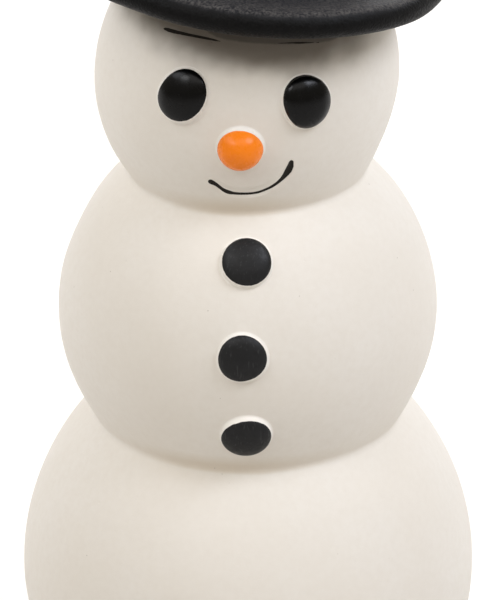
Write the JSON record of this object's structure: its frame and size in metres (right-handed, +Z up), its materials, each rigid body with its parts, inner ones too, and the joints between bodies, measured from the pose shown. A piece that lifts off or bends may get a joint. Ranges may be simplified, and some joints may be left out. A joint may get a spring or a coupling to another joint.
{
  "type": "wooden snowman figure",
  "caption": "Painted wooden snowman of stacked turned balls with a tilted top hat, domed eyes, nose and coat buttons, and a flat foot to stand on.",
  "frame": {"origin": "centre of the flat foot that the snowman stands on, at the bottom of its bounding box", "axes": "+Z up through the three balls; the face looks along -Y; +X is to the right of someone looking at the face"},
  "size_m": [0.091, 0.091, 0.2077],
  "materials": {
    "cream_paint": "matte cream-white paint over turned wood",
    "hat_black": "satin black paint over turned wood, finely mottled",
    "eye_black": "glossy black paint over a wooden plug",
    "button_black": "satin black paint over a wooden plug",
    "nose_orange": "glossy orange paint over a wooden plug",
    "beech": "bare fluted beech dowel"
  },
  "bodies": {
    "root": {"body_lower": "cream_paint", "body_middle": "cream_paint", "head": "cream_paint", "waist_dowel": "beech", "neck_dowel": "beech", "hat_dowel": "beech", "hat_brim": "hat_black", "hat_crown": "hat_black", "eye_left": "eye_black", "eye_right": "eye_black", "nose": "nose_orange", "button_upper": "button_black", "button_middle": "button_black", "button_lower": "button_black"}
  },
  "joints": []
}
